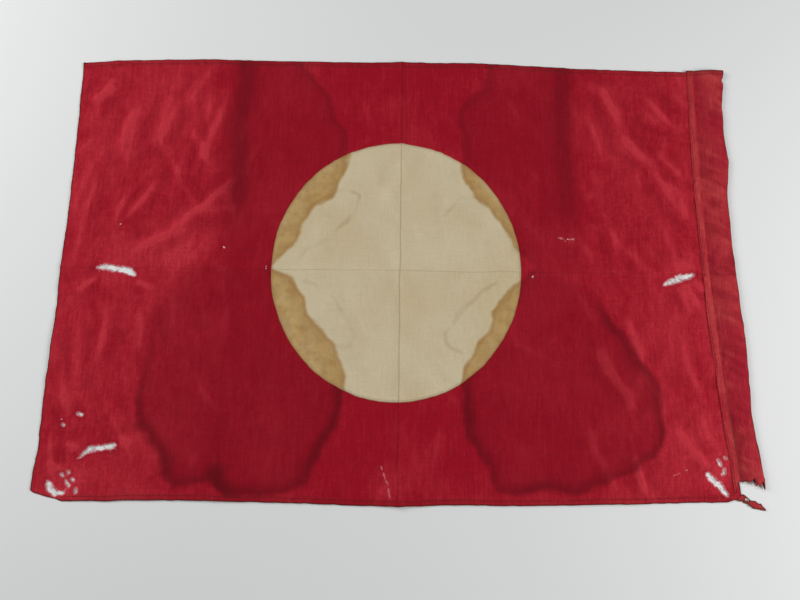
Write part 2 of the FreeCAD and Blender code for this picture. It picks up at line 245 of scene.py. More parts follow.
# Long soft wrinkles: from, to, width and height.
WRINKLES = [
    (-250, 262, -296, 125, 9, 1.9), (-386, 235, -402, 150, 7, 1.4), (-330, 255, -348, 172, 8, 1.3),
    (-238, 122, -318, 48, 10, 2.2), (-300, 60, -372, 12, 8, 1.8), (-240, 146, -240, 88, 6, 1.2),
    (-452, 242, -396, 262, 8, 1.3), (-368, 118, -402, 42, 7, 1.2), (-200, 184, -228, 128, 8, 1.0),
    (-440, 160, -452, 40, 10, 1.0), (-420, 284, -450, 200, 8, 1.1), (-310, -30, -296, -96, 9, 1.1),
    (-252, -50, -246, -160, 10, 1.0), (-360, -60, -350, -170, 9, 1.0), (-430, -60, -420, -190, 9, 1.1),
    (-390, -180, -340, -262, 8, 1.1), (-452, -220, -440, -290, 6, 1.3), (286, 284, 312, 200, 9, 1.9),
    (306, 206, 352, 150, 9, 2.1), (346, 158, 396, 68, 9, 1.9), (330, 270, 392, 205, 8, 1.1),
    (262, 120, 300, 20, 9, 1.0), (380, -14, 406, -54, 5, 2.2), (372, -18, 392, -62, 5, 1.6),
    (388, -6, 412, -30, 5, 1.8), (262, -106, 292, -152, 8, 1.4), (308, -96, 350, -196, 9, 1.8),
    (296, -58, 322, -120, 8, 1.2), (302, -244, 318, -302, 6, 1.6), (350, -200, 398, -262, 7, 1.3),
    (240, -190, 268, -290, 9, 1.0), (368, -80, 402, -190, 8, 1.3), (-60, 260, -40, 200, 9, 0.8),
    (60, -200, 40, -296, 9, 0.8), (-150, -200, -176, -292, 10, 0.8), (150, 260, 176, 196, 10, 0.8),
    (-408, -16, -440, -40, 5, 1.5), (-362, -18, -330, -34, 5, 1.4), (-396, -250, -430, -232, 5, 1.4),
    (-344, 190, -283, 80, 5, 0.8), (-283, 70, -220, 90, 9, 1.7), (-317, 247, -344, 165, 7, 1.4),
    (-374, 237, -392, 130, 8, 1.3), (-392, 56, -338, 128, 7, 1.7), (-393, -50, -398, -150, 8, 1.4),
    (-350, -50, -344, -125, 7, 1.4), (262, 255, 288, 150, 8, 1.2), (330, 250, 372, 205, 6, 1.3),
    (360, 180, 392, 130, 6, 1.3), (262, -105, 312, -192, 9, 1.7), (262, -96, 286, -140, 12, 0.8),
    (300, -235, 314, -290, 6, 1.5), (-300, 200, -262, 130, 6, 1.1), (-430, 120, -446, -20, 8, 1.2),
    (-370, -244, -336, -232, 5, 1.2), (-418, -270, -450, -262, 5, 1.3), (398, -262, 372, -236, 5, 1.4),
]
FOLDS_ACROSS = [(-1, 2.0, 1.0), (-237, 0.8, 0.7), (231, 0.7, 0.7)]  # x of a fold's line, height, side
FOLDS_ALONG = [(-5, 1.1, 1.0)]  # y of a fold's line, height, side
CREST_ROUNDING = 1.6
RANDOM_RIDGES = 700
LONG_RIDGES = 251  # how many of them are long and soft
MAP_LOW = np.array([-500, -345])
MAP_SIZE = (1001, 691)
CALM_HALF = 210  # the cloth is smoother this near to the middle


def pressed_folds(x, y, bend):
    """The height of the folds: each is a crest, a little rounded, on a broad swell."""
    folds = np.zeros_like(x)
    for place, height, side in FOLDS_ACROSS:
        across = x - place - 0.25 * bend
        crest = np.exp(-(np.hypot(across, CREST_ROUNDING) - CREST_ROUNDING) / 3.2)
        folds += height * crest * (0.75 + 0.25 * noise(x, y, 30, 24))
        folds += 0.8 * side * height * np.exp(-(across / 26) ** 2)
    for place, height, side in FOLDS_ALONG:
        across = y - place - 0.25 * bend
        crest = np.exp(-(np.hypot(across, CREST_ROUNDING) - CREST_ROUNDING) / 3.0)
        folds += height * crest * (0.7 + 0.3 * noise(x, y, 40, 25))
        folds += 0.7 * side * height * np.exp(-(across / 24) ** 2)
    return folds


def random_ridges():
    """More wrinkles, in the form of WRINKLES: long soft ones, then small ones, calmer in the middle."""
    random = np.random.default_rng(31)
    ridges = []
    for number in range(RANDOM_RIDGES):
        start = random.uniform((-470, -310), (470, 310))
        calm = abs(start[0]) < CALM_HALF
        small = number >= LONG_RIDGES
        lean = 1.2 if start[0] < 0 < start[1] else 1.9
        turn = random.uniform(0, math.pi) if small else random.normal(lean, 0.35)
        length = random.uniform(7, 26) if small else random.uniform(40, 120)
        end = start + length * np.array([math.cos(turn), math.sin(turn)])
        width = random.uniform(1.6, 3.4) if small else random.uniform(5.0, 11.0)
        most = (0.12 if calm else 0.34) if small else (0.35 if calm else 0.85)
        ridges.append((*start, *end, width, random.uniform(0.3, 1.0) * most))
    return ridges


def make_relief():
    """How far the cloth lifts off what it lies on, on a grid of 1 mm, and the same without its folds."""
    xs = MAP_LOW[0] + np.arange(MAP_SIZE[0])
    ys = MAP_LOW[1] + np.arange(MAP_SIZE[1])
    x, y = np.meshgrid(xs.astype(float), ys.astype(float), indexing="ij")
    relief = 0.35 + 0.35 * noise(x, y, 70, 21) + 0.22 * noise(x, y, 26, 22)
    bend = 5 * noise(x, y, 45, 23)
    folds = pressed_folds(x, y, bend)
    for x0, y0, x1, y1, width, height in [*WRINKLES, *random_ridges()]:
        reach = 4 * width + 4
        low = np.array([min(x0, x1), min(y0, y1)]) - reach - MAP_LOW
        high = np.array([max(x0, x1), max(y0, y1)]) + reach - MAP_LOW
        i0, j0 = np.clip(low, 0, MAP_SIZE).astype(int)
        i1, j1 = np.clip(high, 0, MAP_SIZE).astype(int)
        if i1 <= i0 or j1 <= j0:
            continue
        px, py = x[i0:i1, j0:j1], y[i0:i1, j0:j1]
        way = np.array([x1 - x0, y1 - y0])
        length = np.hypot(*way)
        way = way / length
        along = ((px - x0) * way[0] + (py - y0) * way[1]) / length
        across = -(px - x0) * way[1] + (py - y0) * way[0] + 0.8 * bend[i0:i1, j0:j1]
        fade = np.clip(4 * along * (1 - along), 0, 1) ** 0.9
        relief[i0:i1, j0:j1] += 1.4 * height * fade * np.exp(-np.abs(across / width) ** 1.5)
    for path, _ in HOLES:  # the cloth lies flat round a tear
        low, high = np.min(path, axis=0) - 20, np.max(path, axis=0) + 20
        i0, j0 = (low - MAP_LOW).astype(int)
        i1, j1 = (high - MAP_LOW).astype(int)
        px, py = x[i0:i1, j0:j1], y[i0:i1, j0:j1]
        line = resample(path, 3)
        away = np.min([np.hypot(px - a, py - b) for a, b in line], axis=0)
        size = min(14, 4 + np.ptp(line, axis=0).max() / 3)
        flat = 0.1 + 0.9 * smooth_step(away, 1, size)
        relief[i0:i1, j0:j1] *= flat
        folds[i0:i1, j0:j1] *= flat
    return np.maximum(relief + folds, 0), relief


def blurred(grid, reach):
    """The grid's average over a square of about 2 * reach millimetres, twice."""
    for _ in range(2):
        for axis in (0, 1):
            first, last = np.take(grid, [0] * reach, axis), np.take(grid, [-1] * (reach + 1), axis)
            total = np.cumsum(np.concatenate([first, grid, last], axis), axis)
            count = grid.shape[axis]
            grid = (np.take(total, range(2 * reach, 2 * reach + count), axis)
                    - np.take(total, range(0, count), axis)) / (2 * reach)
    return grid


RELIEF, WRINKLED = make_relief()
SIDES = smooth_step(np.abs(MAP_LOW[0] + np.arange(MAP_SIZE[0])), 190, 240)[:, None]
# Where the cloth stands proud of what is round it: painted highlight, partly rubbed pale too. Where it sinks
# below: painted shade.
RIDGE_LIGHT_AND_SHADE = blurred(WRINKLED, 2) - blurred(WRINKLED, 14) + (0.12 + 0.4 * SIDES) * (RELIEF - blurred(RELIEF, 9))


def sample(grid, x, y):
    """A map's value at each point."""
    u = np.clip(np.asarray(x) - MAP_LOW[0], 0, MAP_SIZE[0] - 1.001)
    v = np.clip(np.asarray(y) - MAP_LOW[1], 0, MAP_SIZE[1] - 1.001)
    i, j = u.astype(int), v.astype(int)
    f, g = u - i, v - j
    low = grid[i, j] * (1 - f) + grid[i + 1, j] * f
    high = grid[i, j + 1] * (1 - f) + grid[i + 1, j + 1] * f
    return low * (1 - g) + high * g


def lift(x, y):
    """How far the cloth lifts at each point."""
    return sample(RELIEF, x, y)


HEM_WIDTH = 7.5
HEM_STITCH = 6.0
HEM_START = -428  # the lower hem is torn off before this


def hem_depth(x, y):
    """The distance in from the nearer long edge, and whether a hem is there."""
    from_top, from_bottom = top_edge(x) - y, y - bottom_edge(x)
    depth = np.minimum(from_top, from_bottom)
    there = np.where(from_top < from_bottom, 1.0, smooth_step(x, HEM_START, HEM_START + 4))
    return depth, there * (1 - smooth_step(x - seam_line(y), -1.5, 0.5))


def bed(x, y):
    """The height of what lies under the panel: the lower disc, the sleeve's lower ply, or nothing."""
    away = np.hypot((x - DISC_CENTRE[0]) / DISC_REACH[0], (y - DISC_CENTRE[1]) / DISC_REACH[1])
    over_disc = 1 - smooth_step(away, 1.01, 1.09)
    over_sleeve = smooth_step(x - seam_line(y), -9, -1)
    return 0.04 + PLY * np.maximum(over_disc, over_sleeve)


def panel_low(x, y):
    """The height of the panel's under face."""
    depth, there = hem_depth(x, y)
    round_edge = 0.45 * there * np.clip(1 - depth / 0.9, 0, 1) ** 2
    return bed(x, y) + lift(x, y) + round_edge


def panel_high(x, y):
    """The height of the panel's upper face, hems included."""
    depth, there = hem_depth(x, y)
    width = HEM_WIDTH + 0.4 * ripple(x, 20, 41)
    fold = there * 2 * PLY * (1 - smooth_step(depth, width - 0.15, width + 0.35))
    stitch = 0.22 * there * np.exp(-((depth - HEM_STITCH) / 0.7) ** 2)
    round_edge = 0.4 * there * np.clip(1 - depth / 0.9, 0, 1) ** 2
    worn = 0.12 * np.abs(noise(x, y, 4, 42)) * there * (depth < width)
    return bed(x, y) + lift(x, y) + PLY + fold - stitch - round_edge + worn


# ---------------- meshes

def piece(name, points, faces, attributes, material):
    """A mesh object in metres, which rides on the part's one body. Where there are half as many values in an
    attribute as there are points, they hold for the under face too."""
    mesh = bpy.data.meshes.new(name)
    mesh.from_pydata((np.asarray(points, float) * MM).tolist(), [], [list(map(int, f)) for f in faces])
    for key, values in attributes.items():
        layer = mesh.attributes.new(key, "FLOAT", "POINT")
        layer.data.foreach_set("value", np.resize(values, len(points)).astype(np.float32))
    mesh.materials.append(material)
    mesh.shade_smooth()
    mesh.set_sharp_from_angle(angle=math.radians(55))
    made = bpy.data.objects.new(name, mesh)
    bpy.context.scene.collection.objects.link(made)
    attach(made, "root")
    return made


def triangulate(loops, loose):
    """Triangles that fill the first loop and leave the other loops open."""
    points, edges = [], []
    for loop in loops:
        start = len(points)
        points.extend(map(tuple, loop))
        edges.extend((start + i, start + (i + 1) % len(loop)) for i in range(len(loop)))
    points.extend(map(tuple, loose))
    found = delaunay_2d_cdt(points, edges, [], 0, 1e-4)
    xy = np.array([tuple(p) for p in found[0]])
    triangles = np.array(found[2])
    middles = xy[triangles].mean(axis=1)
    keep = inside(loops[0], *middles.T)
    for hole in loops[1:]:
        low, high = hole.min(axis=0), hole.max(axis=0)
        near = np.all((middles > low) & (middles < high), axis=1)
        keep[near] &= ~inside(hole, *middles[near].T)
    triangles = triangles[keep]
    used, flat = np.unique(triangles, return_inverse=True)
    return xy[used], flat.reshape(-1, 3)


def close_sheet(xy, triangles, low, high):
    """The points and faces of a closed sheet between two heights."""
    count = len(xy)
    edges = np.concatenate([triangles[:, [0, 1]], triangles[:, [1, 2]], triangles[:, [2, 0]]])
    keys, reverse = edges[:, 0] * count + edges[:, 1], edges[:, 1] * count + edges[:, 0]
    rim = edges[~np.isin(keys, reverse)]
    sides = np.column_stack([rim[:, 1], rim[:, 0], rim[:, 0] + count, rim[:, 1] + count])
    points = np.vstack([np.column_stack([xy, high]), np.column_stack([xy, low])])
    faces = triangles.tolist() + (triangles[:, ::-1] + count).tolist() + sides.tolist()
    return points, faces


def tube_faces(start, rings, sides):
    """The faces of a closed tube whose points go round it ring by ring."""
    faces = []
    for ring in range(rings - 1):
        for k in range(sides):
            a, b = start + sides * ring + k, start + sides * ring + (k + 1) % sides
            faces.append([a, a + sides, b + sides, b])
    last = start + sides * (rings - 1)
    return [*faces, list(range(start, start + sides)), list(reversed(range(last, last + sides)))]


def loop_around(path, half_widths, seed):
    """A ragged closed outline round a centre line."""
    path = np.asarray(path, float)
    line = resample(path, 1.0)
    lengths = np.concatenate([[0], np.cumsum(np.linalg.norm(np.diff(path, axis=0), axis=1))])
    along = np.linspace(0, lengths[-1], len(line))
    width = np.interp(along, lengths, half_widths)
    way = np.gradient(line, axis=0)
    way /= np.linalg.norm(way, axis=1)[:, None]
    side = np.column_stack([-way[:, 1], way[:, 0]])
    left = width * (1 + 0.35 * ripple(along, 2.6, seed)) + 0.3
    right = width * (1 + 0.35 * ripple(along, 2.2, seed + 1)) + 0.3
    ends = [line[:1] - way[:1] * width[0], line[-1:] + way[-1:] * width[-1]]
    return np.vstack([ends[0], line - side * right[:, None], ends[1], (line + side * left[:, None])[::-1]])


def stain_attributes(x, y):
    """The signed distance to the nearest stain's rim, how soft that rim is, the stain's strength and the
    distance to an old tide line."""
    bent_x = x + 6 * noise(x, y, 32, 51) + 2 * noise(x, y, 12, 52) + 0.6 * noise(x, y, 5, 53)
    bent_y = y + 6 * noise(x, y, 32, 54) + 2 * noise(x, y, 12, 55) + 0.6 * noise(x, y, 5, 56)
    distances = np.array([signed_distance(outline, bent_x, bent_y) for outline in STAINS])
    nearest = distances.min(axis=0)
    upper = smooth_step(y, -30, 10)
    left_soft = smooth_step(-x, 215, 250) * smooth_step(y, -190, -90)
    right_soft = smooth_step(x, 215, 255) * upper
    at_fold = smooth_step(np.abs(x), 172, 200) * (1 - smooth_step(np.abs(y), 26, 60))
    soft = np.clip(left_soft + right_soft + at_fold, 0, 1)
    strengths = np.array(STAIN_STRENGTHS)[distances.argmin(axis=0)]
    for place, bottom, top in STAIN_FOLDS:
        across = x - place - 4 * ripple(y, 40, 57)
        along = smooth_step(y, bottom - 60, bottom + 70) * (1 - smooth_step(y, top, top + 60))
        strengths = strengths + 0.42 * along * np.exp(-(across / 23) ** 2)
    # The lower stains left a darker ring inside the rim, and one is darkest where it crossed a fold.
    ring = np.exp(-((nearest + 9) / 8.5) ** 2) * (1 - 0.85 * soft) * (1 - smooth_step(y, -60, 0))
    strengths = strengths + 0.27 * ring * np.clip(1 + 0.6 * noise(x, y, 45, 58), 0.35, 1.4)
    across = x - FLY_FOLD - 4 * ripple(y, 40, 57)
    strengths = strengths + 0.16 * np.exp(-(across / 15) ** 2) * (1 - smooth_step(y, -260, -120))
    return {"stain": nearest, "soft": soft, "strength": strengths,
            "rim": line_distance(OLD_RIMS, bent_x, bent_y)}


# Places where the colour has gone: centre, reach and strength.
WORN_SPOTS = [(-243, 98, 15, 0.5), (-14, -285, 22, 0.5), (233, 40, 8, 0.5), (400, -272, 16, 0.5),
              (-425, -285, 26, 0.4), (385, 2, 20, 0.5), (-390, 4, 26, 0.3), (-300, 20, 40, 0.3),
              (404, -230, 40, 0.3)]
UNSTAINED, UNTORN = 60.0, 99.0  # distances at which a stain's rim or a tear no longer counts


def cloth_attributes(x, y, edge_distance):
    """What the cotton materials read at each point."""
    values = stain_attributes(x, y)
    values["ridge"] = np.clip(sample(RIDGE_LIGHT_AND_SHADE, x, y), -1, 2)
    values["edge"] = edge_distance
    values["torn"] = np.full(len(x), UNTORN)
    values["dirt_and_shade"] = np.zeros(len(x))
    fade = 0.2 * smooth_step(np.abs(x), 215, 330) - 0.04 * (1 - smooth_step(np.abs(x), 60, 150))
    for at_x, at_y, reach, strength in WORN_SPOTS:
        fade = fade + strength * np.exp(-((x - at_x) ** 2 + (y - at_y) ** 2) / reach**2)
    values["fade"] = fade
    return values


# ---------------- materials

def linear(colour):
    """A display colour, three values from 0 to 255, as linear light."""
    return tuple((c / 255 / 12.92) if c / 255 <= 0.04045 else ((c / 255 + 0.055) / 1.055) ** 2.4
                 for c in colour) + (1.0,)


class Graph:
    """A material's nodes, made by short calls. A colour is a socket or a display colour from 0 to 255."""

    def __init__(self, name):
        self.material = bpy.data.materials.new(name)
        self.material.use_nodes = True
        self.tree = self.material.node_tree
        self.shader = self.tree.nodes["Principled BSDF"]
        self.place = self.node("ShaderNodeTexCoord").outputs["Object"]

    def node(self, kind, **settings):
        made = self.tree.nodes.new(kind)
        for key, value in settings.items():
            setattr(made, key, value)
        return made

    def put(self, socket, value):
        if isinstance(value, bpy.types.NodeSocket):
            self.tree.links.new(value, socket)
        else:
            socket.default_value = linear(value) if isinstance(value, tuple) else value

    def math(self, operation, a, b=0.0):
        made = self.node("ShaderNodeMath", operation=operation)
        for socket, value in zip(made.inputs, (a, b)):
            self.put(socket, value)
        return made.outputs[0]

    def add(self, a, b):
        return self.math("ADD", a, b)

    def times(self, a, b):
        return self.math("MULTIPLY", a, b)

    def ramp(self, value, low, high, from_value=0.0, to_value=1.0, smooth=True):
        made = self.node("ShaderNodeMapRange", interpolation_type="SMOOTHSTEP" if smooth else "LINEAR")
        for key, number in zip(("Value", "From Min", "From Max", "To Min", "To Max"),
                               (value, low, high, from_value, to_value)):
            self.put(made.inputs[key], number)
        return made.outputs["Result"]

    def noise(self, size, detail=2.0, rough=0.5, stretch=(1, 1, 1)):
        """Noise from 0 to 1 with features about size millimetres across, drawn out by stretch."""
        scale = self.node("ShaderNodeVectorMath", operation="MULTIPLY")
        self.put(scale.inputs[0], self.place)
        scale.inputs[1].default_value = [1 / (size * MM * s) for s in stretch]
        made = self.node("ShaderNodeTexNoise", noise_dimensions="3D")
        self.put(made.inputs["Vector"], scale.outputs[0])
        made.inputs["Scale"].default_value = 1.0
        made.inputs["Detail"].default_value = detail
        made.inputs["Roughness"].default_value = rough
        return made.outputs["Fac"]

    def swing(self, *shape):
        """The same noise from -0.5 to 0.5."""
        return self.math("SUBTRACT", self.noise(*shape), 0.5)

    def attribute(self, name):
        return self.node("ShaderNodeAttribute", attribute_name=name).outputs["Fac"]

    def mix(self, factor, a, b):
        made = self.node("ShaderNodeMix", data_type="RGBA")
        self.put(made.inputs["Factor"], factor)
        self.put(made.inputs["A"], a)
        self.put(made.inputs["B"], b)
        return made.outputs["Result"]

    def blend(self, factor, a, b):
        """A number between a and b."""
        return self.add(a, self.times(factor, self.math("SUBTRACT", b, a)))

    def line(self, axis, place, width, wander):
        """1 on a line across the axis at a place in millimetres, and 0 beyond its width."""
        split = self.node("ShaderNodeSeparateXYZ")
        self.put(split.inputs[0], self.place)
        away = self.add(self.math("SUBTRACT", split.outputs[axis], place * MM), wander)
        return self.ramp(self.math("ABSOLUTE", away), width * MM, 0.0)

    def weave(self, pitch):
        """The height of a plain weave with threads pitch millimetres apart."""
        split = self.node("ShaderNodeSeparateXYZ")
        self.put(split.inputs[0], self.place)
        warp = self.math("SINE", self.times(split.outputs["X"], 2 * math.pi / (2 * pitch * MM)))
        weft = self.math("SINE", self.times(split.outputs["Y"], 2 * math.pi / (2 * pitch * MM)))
        return self.times(warp, weft)

    def bump(self, height, distance, strength=1.0, below=None):
        made = self.node("ShaderNodeBump")
        made.inputs["Strength"].default_value = strength
        made.inputs["Distance"].default_value = distance * MM
        self.put(made.inputs["Height"], height)
        if below is not None:
            self.put(made.inputs["Normal"], below)
        return made.outputs["Normal"]

    def slubs(self):
        """Uneven yarns, both along and up the cloth, from about -1 to 1."""
        along = self.noise(1.1, 1.0, 0.5, (28, 1, 1))
        up = self.noise(1.1, 1.0, 0.5, (1, 24, 1))
        return self.times(self.math("SUBTRACT", self.add(along, up), 1.0), 2.0)

    def finish(self, colour, roughness, normal, sheen, sheen_colour):
        self.put(self.shader.inputs["Base Color"], colour)
        self.put(self.shader.inputs["Roughness"], roughness)
        self.put(self.shader.inputs["Normal"], normal)
        self.shader.inputs["Specular IOR Level"].default_value = 0.05
        self.shader.inputs["Sheen Weight"].default_value = sheen
        self.shader.inputs["Sheen Roughness"].default_value = 0.5
        self.put(self.shader.inputs["Sheen Tint"], sheen_colour)
        return self.material

    def cotton(self, colour, shade, slubs, weave_pitch, sheen, sheen_colour):
        """The shader of a woven cotton whose colour is brighter or darker by shade."""
        bright = self.node("ShaderNodeVectorMath", operation="SCALE")
        self.put(bright.inputs[0], colour)
        self.put(bright.inputs["Scale"], shade)
        roughness = self.ramp(self.noise(30, 2.0, 0.5), 0.3, 0.7, 0.88, 0.98)
        crumple = self.noise(7, 3.0, 0.6, (1, 1.7, 1))
        creases = self.math("ABSOLUTE", self.swing(15, 2.0, 0.55, (1, 1.8, 1)))
        normal = self.bump(self.add(self.times(crumple, 0.6), self.times(creases, -1.3)), 1.8)
        normal = self.bump(slubs, 0.06, 1.0, normal)
        normal = self.bump(self.weave(weave_pitch), 0.09, 0.5, normal)
        return self.finish(bright.outputs[0], roughness, normal, sheen, sheen_colour)


def stain_factors(g, sharpness):
    """How stained the cloth is, how strongly the tide line shows, and a band inside the rim. sharpness is
    half the width of the rim in millimetres."""
    fine = g.times(g.swing(7, 2.0, 0.5), 2.6)
    distance = g.add(g.attribute("stain"), fine)
    soft = g.attribute("soft")
    sharp_fill = g.ramp(distance, sharpness, -sharpness)
    soft_fill = g.ramp(distance, 16.0, -16.0)
    fill = g.blend(soft, sharp_fill, soft_fill)
    hard = g.math("SUBTRACT", 1.0, soft)
    tide = g.times(g.ramp(g.math("ABSOLUTE", g.add(distance, sharpness)), 1.6 * sharpness, 0.0), hard)
    band = g.times(g.ramp(distance, -30.0, -1.0), g.times(sharp_fill, hard))
    return fill, tide, band


def fold_shade_and_dirt(g):
    """Painted shade, with some dirt, along the flag's two sharpest folds."""
    wander = g.times(g.swing(60, 1.0, 0.5), 0.004)
    upright = g.line("X", -1.6, 1.6, wander)
    level = g.line("Y", -5.0, 1.0, wander)
    return g.math("MAXIMUM", upright, g.times(level, 0.7))


def red_cotton(name, fresh, faded_and_highlight, stained_and_shade, tide_and_fold_shade_colour, brown):
    g = Graph(name)
    slubs = g.slubs()
    streaks = g.swing(3.2, 2.0, 0.6, (1, 12, 1))
    patches = g.noise(130, 2.0, 0.5)
    ridge = g.attribute("ridge")
    mottle = g.times(g.swing(21, 4.0, 0.7, (1, 1.7, 1)), 2.0)
    crease = g.math("ABSOLUTE", g.swing(17, 3.0, 0.6, (1, 1.6, 1)))
    mottle = g.add(mottle, g.ramp(crease, 0.05, 0.0, 0.0, 0.4))
    # The ridge attribute lightens the crests: painted highlight, partly rubbed pale too.
    fading_and_highlight = g.add(g.ramp(patches, 0.4, 0.66, 0.0, 0.25), g.ramp(ridge, 0.0, 1.7, 0.0, 0.8))
    fading_and_highlight = g.add(fading_and_highlight, g.times(mottle, g.add(g.attribute("fade"), 0.3)))
    fading_and_highlight = g.add(fading_and_highlight, g.add(g.attribute("fade"), g.times(streaks, 0.4)))
    colour = g.mix(g.ramp(fading_and_highlight, 0.0, 1.0, 0.0, 1.0, False), fresh, faded_and_highlight)
    # Painted shade in the hollows between wrinkles, in the stain colour.
    colour = g.mix(g.ramp(ridge, -0.08, -0.7, 0.0, 0.4), colour, stained_and_shade)
    fill, tide, band = stain_factors(g, 5.0)
    strength = g.attribute("strength")
    uneven = g.ramp(g.noise(34, 3.0, 0.6), 0.3, 0.7, 0.75, 1.0)
    colour = g.mix(g.math("MINIMUM", g.times(g.times(fill, uneven), strength), 1.0), colour, stained_and_shade)
    colour = g.mix(g.times(fill, g.ramp(strength, 0.6, 1.1, 0.0, 0.6)), colour, tide_and_fold_shade_colour)
    dark = g.times(g.add(band, tide), 0.2)
    colour = g.mix(g.times(dark, g.ramp(strength, 0.0, 1.0, 0.5, 1.0, False)), colour, tide_and_fold_shade_colour)
    # Painted shade, with some dirt, along the two sharpest folds.
    colour = g.mix(g.times(fold_shade_and_dirt(g), 0.42), colour, tide_and_fold_shade_colour)
    # Dirt and painted shade at the hems, their stitch lines and the sleeve's tuck.
    colour = g.mix(g.math("MINIMUM", g.attribute("dirt_and_shade"), 1.0), colour, brown)
    colour = g.mix(g.ramp(g.attribute("edge"), 2.4, 0.4, 0.0, 0.85), colour, brown)
    broken = g.ramp(g.noise(3.0, 2.0, 0.6), 0.36, 0.6, 0.35, 0.9)
    colour = g.mix(g.times(g.ramp(g.attribute("torn"), 2.2, 0.2), broken), colour, (222, 142, 148))
    dry = g.math("SUBTRACT", 1.0, g.times(g.times(fill, strength), 0.35))
    uneven_yarns = g.add(g.times(slubs, 0.15), g.times(streaks, 0.24))
    shade = g.add(1.0, g.times(dry, g.add(uneven_yarns, g.times(g.swing(2.4, 2.0, 0.7), 0.42))))
    return g.cotton(colour, shade, slubs, 0.55, 0.01, (225, 90, 90))


def cream_cotton():
    g = Graph("cream_cotton")
    slubs = g.slubs()
    colour = g.mix(g.ramp(g.noise(90, 3.0, 0.5), 0.32, 0.7), (205, 190, 160), (198, 181, 147))
    fill, tide, band = stain_factors(g, 2.8)
    uneven = g.ramp(g.noise(26, 3.0, 0.6), 0.3, 0.7, 0.82, 1.0)
    tan = g.mix(g.ramp(g.noise(15, 3.0, 0.6), 0.35, 0.65), (188, 155, 100), (172, 137, 86))
    old_rim = g.times(g.ramp(g.attribute("rim"), 5.0, 0.0),
                      g.ramp(g.noise(40, 1.0, 0.5), 0.38, 0.6, 0.08, 0.36))
    for share, shade in (
        (g.times(fill, uneven), tan),
        (g.times(band, 0.35), (164, 124, 70)),
        (g.times(tide, 0.3), (146, 108, 62)),
        (old_rim, (152, 130, 94)),
        (g.ramp(g.attribute("ridge"), 0.0, 0.6, 0.0, 0.35), (216, 203, 174)),  # painted highlight on ridges, partly rubbed pale too
        (g.ramp(g.attribute("ridge"), -0.04, -0.4, 0.0, 0.25), (176, 152, 112)),  # painted shade in the valleys
        # painted shade, with some dirt, along the two sharpest folds
        (g.times(fold_shade_and_dirt(g), 0.45), (140, 112, 74)),
        (g.ramp(g.attribute("edge"), 2.0, 0.3, 0.0, 0.7), (138, 88, 62)),  # darker along the edges
        (g.ramp(g.noise(3.2, 2.0, 0.8), 0.66, 0.78, 0.0, 0.35), (150, 118, 74)),  # specks
    ):
        colour = g.mix(share, colour, shade)
    shade = g.add(1.0, g.add(g.times(slubs, 0.06), g.times(g.swing(2.4, 2.0, 0.7), 0.12)))
    return g.cotton(colour, shade, slubs, 0.5, 0.03, (240, 230, 205))


def thread_material(name, light, dark):
    g = Graph(name)
    colour = g.mix(g.ramp(g.noise(2.0, 3.0, 0.6), 0.35, 0.65), light, dark)
    split = g.node("ShaderNodeSeparateXYZ")
    g.put(split.inputs[0], g.place)
    diagonal = g.add(split.outputs["X"], split.outputs["Y"])
    twist = g.math("SINE", g.times(diagonal, 2 * math.pi / (0.35 * MM)))
    normal = g.bump(twist, 0.05, 0.6)
    roughness = g.ramp(g.noise(4.0, 2.0, 0.5), 0.3, 0.7, 0.6, 0.8)
    return g.finish(colour, roughness, normal, 0.1, (200, 150, 150))


def floor_material():
    g = Graph("pale_floor")
    colour = g.mix(g.ramp(g.noise(900, 2.0, 0.5), 0.3, 0.7), (227, 228, 228), (225, 226, 226))
    return g.finish(colour, 0.9, g.bump(g.noise(2.0, 2.0, 0.5), 0.02, 0.2), 0.0, (255, 255, 255))


RED = red_cotton("red_cotton", (153, 18, 36), (186, 48, 60), (132, 17, 31), (92, 15, 23), (82, 36, 27))
SLEEVE_RED = red_cotton("sleeve_cotton", (158, 33, 47), (186, 66, 66), (126, 20, 33), (98, 16, 25),
                        (88, 46, 32))
CREAM = cream_cotton()
RED_THREAD = thread_material("red_thread", (120, 22, 32), (84, 16, 24))
DISC_THREAD = thread_material("disc_thread", (172, 140, 92), (138, 104, 66))


# ---------------- the panel

HEM_ROWS = [0.25, 0.7, 1.4, 2.8, 4.2, 5.2, 6.0, 6.8, 7.25, 7.95, 9.4]
GRID = 3.95  # between the panel's points


def panel_outline():
    """The panel's four edges as one loop: lower, hoist, upper and fly."""
    low_x = np.arange(FIELD_LOW[0] + 2, 426, 2.6)
    high_x = np.arange(FIELD_LOW[0] + 2, 416, 2.6)
    y_right = np.arange(-298, 302, 3.0)
    y_left = np.arange(-296, 303, 2.2)
    right = np.column_stack([panel_end(y_right), y_right])
    left = np.column_stack([fly_edge(y_left), y_left])
    lower = np.column_stack([low_x, bottom_edge(low_x)])
    upper = np.column_stack([high_x, top_edge(high_x)])
    return np.vstack([lower, right, upper[::-1], left[::-1]])


def grid_points(low, high, step, seed):
    """A jittered grid of equal triangles."""
    rows = np.arange(low[1], high[1], step * math.sqrt(3) / 2)
    columns = np.arange(low[0], high[0], step)
    x, y = np.meshgrid(columns, rows)
    x[1::2] += step / 2
    points = np.column_stack([x.ravel(), y.ravel()])
    return points + np.random.default_rng(seed).uniform(-0.18, 0.18, points.shape) * step


def from_holes(holes, x, y):
    """The distance to the nearest hole, and 0 in a hole."""
    return np.maximum(np.min([signed_distance(hole, x, y) for hole in holes], axis=0), 0)


